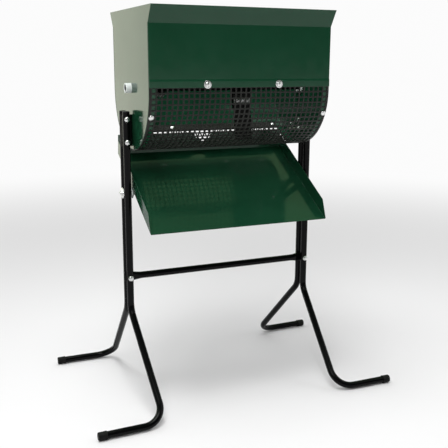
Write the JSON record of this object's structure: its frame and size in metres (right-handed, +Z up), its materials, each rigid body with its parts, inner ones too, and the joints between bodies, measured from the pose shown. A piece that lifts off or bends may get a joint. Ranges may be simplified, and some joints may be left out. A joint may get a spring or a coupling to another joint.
{
  "type": "soil sieve",
  "caption": "Rotary soil sieve: open sheet hopper over a half-round sieve trough, turned paddle shaft, sloping catch tray and a splayed tube stand.",
  "frame": {"origin": "on the floor, midway between the four feet", "axes": "+Z up, +X along the agitator shaft, -Y towards the side that the tray empties to"},
  "size_m": [1.0224, 0.624, 1.237],
  "materials": {
    "green_paint": "glossy dark green powder coat",
    "black_tube": "gloss black powder coat",
    "sieve_sheet": "black coated perforated sheet, satin",
    "zinc": "bright zinc plate",
    "rubber": "matt black",
    "black_plastic": "satin black",
    "white_nylon": "satin white"
  },
  "bodies": {
    "frame": {"leg_left_front": "black_tube", "leg_left_back": "black_tube", "leg_right_front": "black_tube", "leg_right_back": "black_tube", "foot_cap_left_front": "rubber", "foot_cap_left_back": "rubber", "foot_cap_right_front": "rubber", "foot_cap_right_back": "rubber", "top_plug_left_front": "black_plastic", "top_plug_left_back": "black_plastic", "top_plug_right_front": "black_plastic", "top_plug_right_back": "black_plastic", "crossbar_bolt_left": "zinc", "crossbar_bolt_right": "zinc", "crossbar": "black_tube", "side_plate_left": "green_paint", "side_plate_right": "green_paint", "hopper_bracket_left": "black_tube", "hopper_bracket_right": "black_tube", "upright_bolt_left_low": "zinc", "upright_bolt_left_high": "zinc", "upright_bolt_right_low": "zinc", "upright_bolt_right_high": "zinc", "bracket_bolt_left_low": "zinc", "bracket_bolt_left_high": "zinc", "bracket_bolt_right_low": "zinc", "bracket_bolt_right_high": "zinc", "sieve_bolt_left": "zinc", "sieve_bolt_right": "zinc", "back_corner_bolt_left": "zinc", "back_corner_bolt_right": "zinc", "back_lap_bolt_left_inner": "zinc", "back_lap_bolt_left_outer": "zinc", "back_lap_bolt_right_inner": "zinc", "back_lap_bolt_right_outer": "zinc", "front_panel": "green_paint", "back_panel": "green_paint", "panel_bolt_left": "zinc", "panel_bolt_right": "zinc", "sieve_trough": "sieve_sheet", "shaft_bush_left": "white_nylon", "shaft_bush_right": "white_nylon"},
    "agitator": {"agitator_shaft": "black_tube", "paddle_blade_far_left": "rubber", "paddle_clamp_far_left": "zinc", "paddle_blade_left": "rubber", "paddle_clamp_left": "zinc", "paddle_blade_right": "rubber", "paddle_clamp_right": "zinc", "paddle_blade_far_right": "rubber", "paddle_clamp_far_right": "zinc"},
    "tray_carrier": {"tray_pivot_bolt_left": "zinc", "tray_spacer_left": "white_nylon", "tray_washer_left": "zinc", "tray_pivot_bolt_right": "zinc", "tray_spacer_right": "white_nylon", "tray_washer_right": "zinc"},
    "tray": {"tray": "green_paint"}
  },
  "joints": [
    {"name": "agitator_spin", "type": "hinge", "parent": "frame", "child": "agitator", "pos_m": [0, 0, 1], "axis": [1, 0, 0], "continuous": true},
    {"name": "tray_height", "type": "slide", "parent": "frame", "child": "tray_carrier", "axis": [0, 0, 1], "range_m": [-0.15, 0]},
    {"name": "tray_slope", "type": "hinge", "parent": "tray_carrier", "child": "tray", "pos_m": [0, 0, 0.672], "axis": [1, 0, 0], "range_deg": [-25, 3]}
  ]
}
